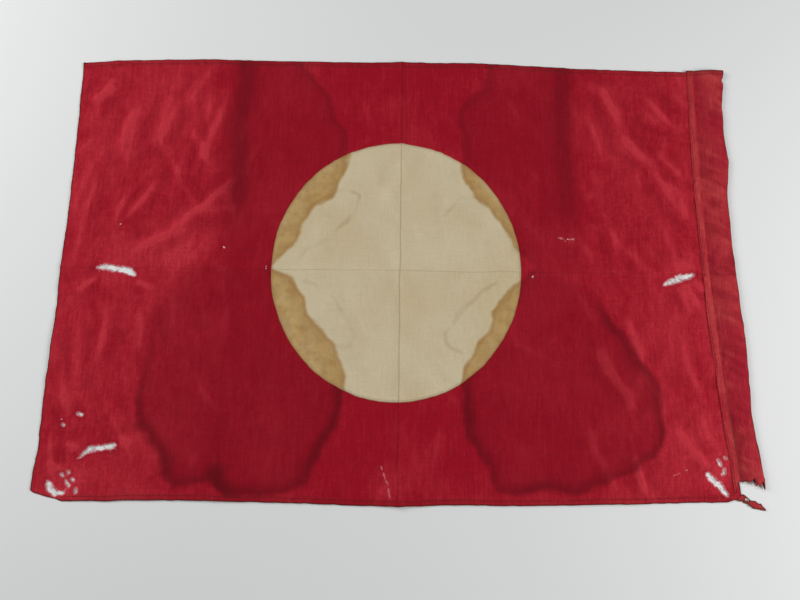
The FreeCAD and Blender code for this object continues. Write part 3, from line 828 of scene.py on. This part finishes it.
def make_panel(holes):
    """The panel: a closed sheet with more points along its hems, fly edge, tears and worn lines."""
    outline = panel_outline()
    rows = []
    x = np.arange(FIELD_LOW[0] + 4, 430, 3.4)
    for number, depth in enumerate(HEM_ROWS):
        shifted = x + 1.7 * (number % 2)
        rows.append(np.column_stack([shifted, top_edge(shifted) - depth]))
        rows.append(np.column_stack([shifted, bottom_edge(shifted) + depth]))
    y = np.arange(-285, 290, 2.6)
    for depth in (0.8, 2.2):
        rows.append(np.column_stack([fly_edge(y) + depth, y]))
    for line in WORN_LINES:
        for shift in (-2.6, -1.3, 0.1, 1.4, 2.7):
            rows.append(resample(line, 1.3) + (shift, 0.3 * shift))
    x, y = grid_points(FIELD_LOW[:2], FIELD_HIGH[:2] + [15, 0], GRID, 61).T
    depth = np.minimum(top_edge(x) - y, y - bottom_edge(x))
    keep = (depth > 11) & (x > fly_edge(y) + 4) & (x < panel_end(y) - 2)
    loose = np.vstack([*rows, np.column_stack([x, y])[keep]])
    loose = loose[from_holes(holes, *loose.T) > 3.4]
    rings = []
    for hole in holes:
        way = hole - hole.mean(axis=0)
        way /= np.linalg.norm(way, axis=1)[:, None]
        rings += [hole + way * 1.1, (hole + way * 2.6)[::2]]
    ring = np.vstack(rings)
    loose = np.vstack([loose, ring[from_holes(holes, *ring.T) > 0.6]])
    loose = loose[signed_distance(outline, *loose.T) < -0.1]
    xy, triangles = triangulate([outline, *holes], loose)
    x, y = xy.T
    edge = -signed_distance(outline, x, y)
    torn = from_holes(holes, x, y)
    curl = 0.12 * np.exp(-torn / 2.2) * (1 + noise(x, y, 6, 62))
    points, faces = close_sheet(xy, triangles, panel_low(x, y) + curl, panel_high(x, y) + curl)
    attributes = cloth_attributes(x, y, np.maximum(edge, 0))
    depth, there = hem_depth(x, y)
    # Dirt and painted shade: the hem band and its stitch line darker, and painted shade along the hem's
    # inner edge.
    band = 0.1 * (depth < HEM_WIDTH) + 0.14 * np.exp(-((depth - HEM_STITCH) / 0.9) ** 2)
    attributes["dirt_and_shade"] = there * (band + 0.2 * np.exp(-((depth - HEM_WIDTH - 0.4) / 0.8) ** 2))
    thin = line_distance(WORN_LINES, x, y) + 1.5 * noise(x, y, 3.2, 67)
    attributes["torn"] = np.minimum(torn, 0.9 + np.maximum(thin, 0))
    return piece("field_cloth", points, faces, attributes, RED)


HOLE_LOOPS = [loop_around(path, HOLE_WIDTH * np.array(widths), 71 + 2 * number)
              for number, (path, widths) in enumerate(HOLES)]
FIELD_CLOTH = make_panel(HOLE_LOOPS)
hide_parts("field_panel")


# ---------------- the discs

def disc_loop(inset, count=420):
    """The disc's uneven outline, drawn in by inset."""
    turn = np.linspace(0, 2 * math.pi, count, endpoint=False)
    uneven = 0.5 * ripple(turn * 60, 8, 81) + 0.35 * ripple(turn * 60, 2.4, 82)
    fade = smooth_step(turn, 0, 0.2) * (1 - smooth_step(turn, 6.08, 6.28))  # so that the outline closes
    reach = DISC_REACH - inset
    return np.column_stack([
        DISC_CENTRE[0] + (reach[0] + uneven * fade) * np.cos(turn),
        DISC_CENTRE[1] + (reach[1] + uneven * fade) * np.sin(turn),
    ])


DISC_TURNED = 5.5  # the width of the edge that is turned under
DISC_STITCH = 2.5
DISC_GAP = 0.08  # from the panel up to the disc, so that no crest of the panel shows through


def disc_high(x, y, depth):
    """The height of the front disc's upper face, depth in from its edge."""
    base = panel_high(x, y) + DISC_GAP + PLY
    turned = 0.75 * PLY * (1 - smooth_step(depth, DISC_TURNED - 0.6, DISC_TURNED + 0.8))
    dip = 0.16 * np.exp(-((depth - DISC_STITCH) / 0.7) ** 2)
    pucker = 0.1 * noise(x, y, 3.2, 83) * np.exp(-((depth - 3) / 4) ** 2)
    round_edge = 0.35 * np.clip(1 - depth / 0.8, 0, 1) ** 2
    return base + turned - dip + pucker - round_edge


def make_disc(name, front):
    """A disc, which lies on the panel or under it and takes on its relief."""
    outline = disc_loop(0)
    rows = [disc_loop(inset) for inset in (0.3, 0.8, 1.8, 2.5, 3.2, 4.4, 5.2, 6.2, 8.0)]
    loose = grid_points(DISC_LOW[:2], DISC_HIGH[:2], 3.6, 63)
    loose = loose[signed_distance(outline, *loose.T) < -10.0]
    xy, triangles = triangulate([outline], np.vstack([*rows, loose]))
    x, y = xy.T
    depth = np.maximum(-signed_distance(outline, x, y), 0)
    if front:
        low, high = panel_high(x, y) + DISC_GAP, disc_high(x, y, depth)
    else:
        low, high = lift(x, y), panel_low(x, y) - 0.03
    points, faces = close_sheet(xy, triangles, low, high)
    return piece(name, points, faces, cloth_attributes(x, y, depth), CREAM)


FRONT_DISC = make_disc("front_disc_cloth", True)
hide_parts("front_disc")
BACK_DISC = make_disc("back_disc_cloth", False)
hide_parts("back_disc")


# ---------------- the sleeve

LAP = 9.0
FOLD_RADIUS = 1.9
SLEEVE_LENGTH = 589  # about
HEM_LAYERS = 0.35  # what the turned hem at its end adds to its thickness
LOWER_POINTS = 16  # in a section of the sleeve, along its lower ply


def sleeve_ripple(x, y):
    """Fine slanting wrinkles in the sleeve, in millimetres."""
    across, along = 0.5 * x + 0.87 * y, 0.87 * x - 0.5 * y
    return 0.55 * noise(across, along, (6, 30), 93) + 0.35 * noise(x, y, (9, 16), 94)


def sleeve_section(y):
    """The middle line of the sleeve's section at y, from its lower edge round: its x, z and thickness."""
    left = seam_line(y)
    fold_x = sleeve_edge(y) - FOLD_RADIUS - PLY / 2
    x = [left + (fold_x - left) * t for t in np.linspace(0, 1, LOWER_POINTS)]
    z = [PLY / 2] * LOWER_POINTS
    thick = [PLY] * LOWER_POINTS
    for turn in np.linspace(-90, 90, 9)[1:-1]:
        x.append(fold_x + FOLD_RADIUS * math.cos(math.radians(turn)))
        z.append(PLY / 2 + FOLD_RADIUS + FOLD_RADIUS * math.sin(math.radians(turn)))
        thick.append(PLY)
    inner = left + LAP + 0.8
    plump = 2.6 + 1.1 * ripple(y, 55, 91) + 0.7 * ripple(y, 17, 92)
    for t in np.linspace(0, 1, 26):
        place = fold_x + (inner - fold_x) * t
        start, end = 2 * FOLD_RADIUS + PLY / 2, 1.15
        arch = plump * math.sin(math.pi * min(1, t * 1.02)) ** 0.8 if 0 < t < 0.98 else 0
        x.append(place)
        z.append(start + (end - start) * t + arch + sleeve_ripple(place, y) * math.sin(math.pi * t))
        thick.append(PLY)
    ridge = lift(left + 4, y) + 2 * PLY + 0.1
    for t, up, t_thick in ((0.0, 0.0, 0.5), (0.08, 0.3, 0.7), (0.2, 0.42, 0.84), (0.45, 0.44, 0.86),
                           (0.7, 0.36, 0.74), (0.78, 0.28, 0.62), (0.86, 0.4, 0.82), (0.95, 0.38, 0.78),
                           (1.0, 0.26, 0.5)):
        x.append(left + LAP * (1 - t))
        z.append(max(ridge + up, 1.1) if t > 0 else ridge + 0.12)
        thick.append(t_thick)
    return np.array(x), np.array(z), np.array(thick)


def torn_line(x):
    """How far down the sleeve reaches at x."""
    return np.interp(x, *RAGGED_END) + 1.1 * ripple(x, 1.7, 95)


def make_sleeve():
    """The sleeve: one strip folded round into an open tube, from its hemmed end down to its torn one."""
    down = np.concatenate([[0, 0.8, 2.5, 6.0, 8.4, 9.0, 9.6, 11.5], np.arange(14, 560, 3.1),
                           np.arange(560, 604, 1.2)])
    down = down / down[-1]
    columns, rows = [], []
    for v in down:
        y_plain = SLEEVE_TOP - v * (SLEEVE_TOP + 285)
        x, z, thick = sleeve_section(y_plain)
        y = SLEEVE_TOP - v * (SLEEVE_TOP - torn_line(x))
        hem = HEM_LAYERS if abs(v * SLEEVE_LENGTH - 4.5) < 4.6 else 0
        upper = np.arange(len(x)) >= LOWER_POINTS
        columns.append(np.column_stack([x, y, z + hem * upper]))
        rows.append(thick + hem)
    middle, thick = np.array(columns), np.array(rows)
    along = np.gradient(middle, axis=0)
    around = np.gradient(middle, axis=1)
    normal = np.cross(around, along)
    normal /= np.linalg.norm(normal, axis=2)[:, :, None]
    outer = middle - normal * thick[:, :, None] / 2
    inner = middle + normal * thick[:, :, None] / 2
    outer[:, :, 2] = np.maximum(outer[:, :, 2], 0.0)
    high, wide = middle.shape[:2]
    points = np.vstack([outer.reshape(-1, 3), inner.reshape(-1, 3)])
    index = np.arange(high * wide).reshape(high, wide)
    count = high * wide
    corners = (index[:-1, :-1], index[:-1, 1:], index[1:, 1:], index[1:, :-1])
    outside = np.column_stack([corner.ravel() for corner in corners])
    loop = np.concatenate([index[0, :], index[1:, -1], index[-1, -2::-1], index[-2:0:-1, 0]])
    following = np.roll(loop, -1)
    sides = np.column_stack([following, loop, loop + count, following + count])
    faces = np.vstack([outside, outside[:, ::-1] + count, sides])
    x, y = middle[:, :, 0].ravel(), middle[:, :, 1].ravel()
    inward = x - seam_line(y)
    edge = np.minimum(SLEEVE_TOP - y, y - torn_line(x))
    edge = np.minimum(edge, np.minimum(np.abs(inward) + 1.5, 0.8 * (sleeve_edge(y) - x) + 0.1))
    attributes = cloth_attributes(x, y, np.maximum(edge, 0))
    attributes["stain"] = np.full(len(x), UNSTAINED)
    lap = smooth_step(inward, 0.5, 1.5) * (1 - smooth_step(inward, LAP - 2, LAP + 3))
    # Painted highlight and shade on the sleeve's fine slanting wrinkles, weaker on the lap.
    attributes["ridge"] = 1.5 * sleeve_ripple(x, y) * (1 - 0.75 * lap)
    # Painted highlight, partly wear too, on the raised lap, and paler or darker at random.
    attributes["fade"] = 0.36 * lap * (0.8 + 0.4 * noise(x, y, 40, 98)) + 0.25 * noise(x, y, 30, 96)
    down = SLEEVE_TOP - y
    # Dirt and painted shade along the end hem and its stitch line, and painted shade in the tuck beside the
    # lap.
    hem_dirt_and_shade = 0.3 * np.exp(-((down - 2.5) / 3) ** 2) + 0.35 * np.exp(-((down - 7.5) / 1.2) ** 2)
    tuck_shade = 0.7 * np.exp(-((inward - LAP - 0.6) / 1.1) ** 2) * (1 - smooth_step(y, -190, -120))
    attributes["dirt_and_shade"] = hem_dirt_and_shade + tuck_shade
    return piece("sleeve_cloth", points, faces, attributes, SLEEVE_RED)


SLEEVE_CLOTH = make_sleeve()
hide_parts("hoist_sleeve")

RAG = ([(431, -297), (437, -296), (444, -301), (451, -304), (458, -307), (463, -310)],
       [2.6, 4.0, 3.6, 4.2, 3.4, 1.2])


def make_rag():
    """What is left of the sleeve's lower hem."""
    outline = loop_around(*RAG, 97)
    loop = loop_around([(440, -297), (443, -299)], [1.2, 1.0], 99)
    loose = grid_points(outline.min(axis=0), outline.max(axis=0), 1.6, 64)
    loose = loose[(signed_distance(outline, *loose.T) < -0.7) & (signed_distance(loop, *loose.T) > 0.7)]
    xy, triangles = triangulate([outline, loop], loose)
    x, y = xy.T
    depth = np.minimum(-signed_distance(outline, x, y), signed_distance(loop, x, y))
    low = 0.05 + 0.5 * (1 + noise(x, y, 6, 65)) + 0.25 * (1 + noise(x, y, 2.5, 66))
    points, faces = close_sheet(xy, triangles, low, low + 1.1 * PLY + 0.3 * smooth_step(depth, 0, 1.2))
    attributes = cloth_attributes(x, y, np.maximum(depth, 0))
    attributes["stain"] = np.full(len(x), UNSTAINED)
    return piece("torn_rag", points, faces, attributes, SLEEVE_RED)


TORN_RAG = make_rag()
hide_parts("torn_hem_end")


# ---------------- stitches

def stitch_row(name, path, surface, side=1, size=(3.1, 2.5, 0.6), material=RED_THREAD, slot="red_thread"):
    """A row of lockstitches: each one a short rounded thread whose ends dive into the cloth. side is 1 on an
    upper face and -1 on a lower one, and size is the stitches' pitch, length and width."""
    pitch, length, width = size
    line = resample(path, pitch)
    middles = (line[1:] + line[:-1]) / 2
    way = line[1:] - line[:-1]
    way /= np.linalg.norm(way, axis=1)[:, None]
    random = np.random.default_rng(len(name))
    turn = random.normal(0, 0.05, len(way))
    way = np.column_stack([way[:, 0] * np.cos(turn) - way[:, 1] * np.sin(turn),
                           way[:, 0] * np.sin(turn) + way[:, 1] * np.cos(turn)])
    across = np.column_stack([-way[:, 1], way[:, 0]])
    stations = np.array([-0.5, -0.42, -0.2, 0.0, 0.2, 0.42, 0.5])
    around = np.arange(6) * math.pi / 3
    taper = np.array([0.12, 0.75, 1.0, 1.0, 1.0, 0.75, 0.12])
    dive = np.array([-0.22, -0.05, 0.05, 0.07, 0.05, -0.05, -0.22])
    points = []
    for t, share, rise in zip(stations, taper, dive):
        for angle in around:
            xy = middles + way * t * length + across * (math.cos(angle) * width / 2 * share)
            z = surface(*xy.T) + side * (rise + 0.5 * width * 0.6 * share * math.sin(angle) + 0.05)
            points.append(np.column_stack([xy, z]))
    points = np.array(points)
    per, count = points.shape[:2]
    points = points.transpose(1, 0, 2).reshape(-1, 3)
    faces = [face for i in range(count) for face in tube_faces(per * i, len(stations), len(around))]
    points[:, 2] = np.maximum(points[:, 2], 0.0)
    return piece(name, points, faces, {}, material)


def hem_path(edge, depth, start, end):
    """A line of stitching depth in from a long edge."""
    x = np.arange(start, end, 4.0)
    wander = 0.25 * ripple(x, 25, 101)
    return np.column_stack([x, edge(x) + (depth + wander) * (1 if edge is bottom_edge else -1)])


def under_panel(x, y):
    return panel_low(x, y) - 0.02


ROWS = []
for place, edge, start in (("top", top_edge, FIELD_LOW[0] + 4), ("bottom", bottom_edge, HEM_START + 3)):
    path = hem_path(edge, HEM_STITCH, start, 411 if place == "top" else 419)
    above = stitch_row(f"{place}_hem_stitches", path, panel_high)
    below = stitch_row(f"{place}_hem_stitches_below", path, under_panel, -1)
    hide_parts(f"{place}_hem_needle_thread")
    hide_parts(f"{place}_hem_bobbin_thread")
    ROWS += [above, below]


def lap_high(x, y):
    """The upper face of the sleeve's lap along its stitching."""
    return lift(seam_line(y) + 4, y) + 2 * PLY + 0.1 + 0.28 + 0.33


seam_y = np.arange(-290, 296, 5.0)
seam_path = np.column_stack([seam_line(seam_y) + 2.1, seam_y])
SEAM_ABOVE = stitch_row("seam_stitches", seam_path, lap_high)
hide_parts("sleeve_seam_needle_thread")
SEAM_BELOW = stitch_row("seam_stitches_below", seam_path, lambda x, y: 0 * x + 0.12, -1)
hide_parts("sleeve_seam_bobbin_thread")

disc_path = disc_loop(DISC_STITCH)
disc_path = np.vstack([disc_path, disc_path[:1]])
disc_sewing = {"size": (2.9, 2.3, 0.5), "material": DISC_THREAD, "slot": "disc_thread"}
DISC_ABOVE = stitch_row("disc_stitches", disc_path, lambda x, y: disc_high(x, y, 0 * x + DISC_STITCH),
                        **disc_sewing)
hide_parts("disc_needle_thread")
DISC_BELOW = stitch_row("disc_stitches_below", disc_path, lift, -1, **disc_sewing)
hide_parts("disc_bobbin_thread")


def sleeve_top_high(x, y):
    """The sleeve's upper face near its end hem."""
    section_x, section_z, thick = sleeve_section(float(np.mean(y)))
    upper = slice(23, None)
    order = np.argsort(section_x[upper])
    return np.interp(x, section_x[upper][order], (section_z + thick / 2 + 0.5)[upper][order])


end_y = SLEEVE_TOP - 7.0
end_path = np.array([(float(seam_line(end_y)) + 1, end_y), (float(sleeve_edge(end_y)) - 2.5, end_y)])
END_ABOVE = stitch_row("sleeve_end_stitches", end_path, sleeve_top_high)
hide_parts("sleeve_end_needle_thread")
END_BELOW = stitch_row("sleeve_end_stitches_inside", end_path + [(8, 0), (-1, 0)],
                       lambda x, y: sleeve_top_high(x, y) - 1.25, -1)
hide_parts("sleeve_end_bobbin_thread")


# ---------------- frayed yarns

YARN = thread_material("frayed_yarn", (226, 156, 160), (196, 84, 96))
YARN_RADIUS, YARN_SIDES = 0.2, 5


def make_yarns():
    """Loose yarns at the tears, some across them and some lying over their edges."""
    random = np.random.default_rng(111)
    paths = []
    for loop in HOLE_LOOPS:
        size = np.ptp(loop, axis=0).max()
        middle = loop.mean(axis=0)
        for _ in range(int(size * 0.4)):
            start = loop[random.integers(len(loop))]
            way = np.array([1.0, 0.0]) if random.random() < 0.35 else np.array([0.0, 1.0])
            way = way * (1 if way @ (middle - start) > 0 else -1)
            turn = random.normal(0, 0.35)
            way = np.array([way[0] * math.cos(turn) - way[1] * math.sin(turn),
                            way[0] * math.sin(turn) + way[1] * math.cos(turn)])
            reach = random.uniform(1.2, min(7.5, 2.0 + 0.5 * size))
            curve = random.normal(0, 0.3)
            t = np.linspace(-0.35, 1, 7)[:, None]
            side = np.array([-way[1], way[0]])
            paths.append(start + way * reach * t + side * curve * reach * t * t)
    t = np.linspace(0, 1, 7)[:, None]
    for x in np.arange(433, 466, 1.1):
        start = np.array([x, float(torn_line(x)) + 0.8])
        way = np.array([random.normal(0, 0.3), -1.0]) * random.uniform(1.0, 4.5)
        paths.append(start + way * t + np.array([random.normal(0, 0.8), 0]) * t * t)
    points, faces = [], []
    for path in paths:
        rise = random.uniform(0.2, 1.0)
        t = np.linspace(0, 1, len(path))
        x, y = path.T
        near_sleeve = x.mean() > 430
        z = (1.2 if near_sleeve else panel_high(x, y).clip(0, 3)) + rise * np.sin(math.pi * t) - 0.5 * t
        way = np.gradient(path, axis=0)
        way /= np.linalg.norm(way, axis=1)[:, None] + 1e-9
        side = np.column_stack([-way[:, 1], way[:, 0]])
        faces += tube_faces(len(points), len(path), YARN_SIDES)
        for i in range(len(path)):
            for k in range(YARN_SIDES):
                angle = k * 2 * math.pi / YARN_SIDES
                xy = path[i] + side[i] * YARN_RADIUS * math.cos(angle)
                points.append((*xy, max(z[i] + YARN_RADIUS * math.sin(angle), 0.0)))
    return piece("frayed_yarns", points, faces, {}, YARN)


FRAYED = make_yarns()

# Small pale tufts caught in the weave: where, and how many.
LINT = [(-387, 57, 2), (-242, 25, 5), (178, -11, 4), (-183, -3, 2), (224, 40, 1), (229, 41, 1), (236, 42, 1),
        (368, -262, 2), (-437, -208, 2)]
LINT_FIBRE = thread_material("pale_lint", (226, 190, 186), (206, 150, 150))


def make_lint():
    random = np.random.default_rng(121)
    points, faces = [], []
    for at_x, at_y, count in LINT:
        for _ in range(count):
            middle = np.array([at_x, at_y]) + random.normal(0, 0.7, 2)
            size = random.uniform(0.5, 1.1)
            z = float(panel_high(*middle)) + 0.3 * size
            faces += tube_faces(len(points), 5, 8)
            for ring in range(1, 6):
                lat = math.pi * ring / 6
                for k in range(8):
                    turn = 2 * math.pi * k / 8
                    reach = size * math.sin(lat) * random.uniform(0.75, 1.25)
                    points.append((middle[0] + reach * math.cos(turn), middle[1] + reach * math.sin(turn),
                                   z + 0.45 * size * math.cos(lat)))
    return piece("lint", points, faces, {}, LINT_FIBRE)


LINT_TUFTS = make_lint()


# ---------------- studio

def make_floor():
    mesh = bpy.data.meshes.new("floor")
    size = 6.0
    corners = [(-size, -size, 0), (size, -size, 0), (size, size, 0), (-size, size, 0)]
    mesh.from_pydata(corners, [], [(0, 1, 2, 3)])
    mesh.materials.append(floor_material())
    floor = bpy.data.objects.new("floor", mesh)
    floor.location.z = -0.0003  # a hair below the flag, so that the two don't share a plane
    bpy.context.scene.collection.objects.link(floor)


def area_light(name, place, power):
    """A window-like light that faces the middle of the flag."""
    data = bpy.data.lights.new(name, "AREA")
    data.shape = "RECTANGLE"
    data.size = data.size_y = 0.9
    data.energy = power
    data.color = (1.0, 1.0, 0.99)
    light = bpy.data.objects.new(name, data)
    light.location = place
    x, y, z = place
    light.rotation_euler = (math.atan2(math.hypot(x, y), z), 0, math.atan2(x, -y))
    bpy.context.scene.collection.objects.link(light)


def make_studio():
    make_floor()
    area_light("right", (1.7, -0.38, 1.0), 27.5)
    area_light("left", (-1.7, 0.63, 1.0), 28)
    world = bpy.data.worlds.new("studio")
    world.use_nodes = True
    background = world.node_tree.nodes["Background"]
    background.inputs["Color"].default_value = (0.98, 1.0, 1.0, 1)
    background.inputs["Strength"].default_value = 0.23
    bpy.context.scene.world = world
    bpy.context.scene.view_settings.view_transform = "Standard"


def make_camera():
    data = bpy.data.cameras.new("camera")
    data.lens = 28
    data.sensor_width = 36
    data.clip_start = 0.01
    camera = bpy.data.objects.new("camera", data)
    camera.location = (-0.0028, -0.2125, 0.8220)
    camera.rotation_euler = [math.radians(a) for a in (11.52, -0.25, 0.66)]
    bpy.context.scene.collection.objects.link(camera)
    bpy.context.scene.camera = camera


make_studio()
make_camera()
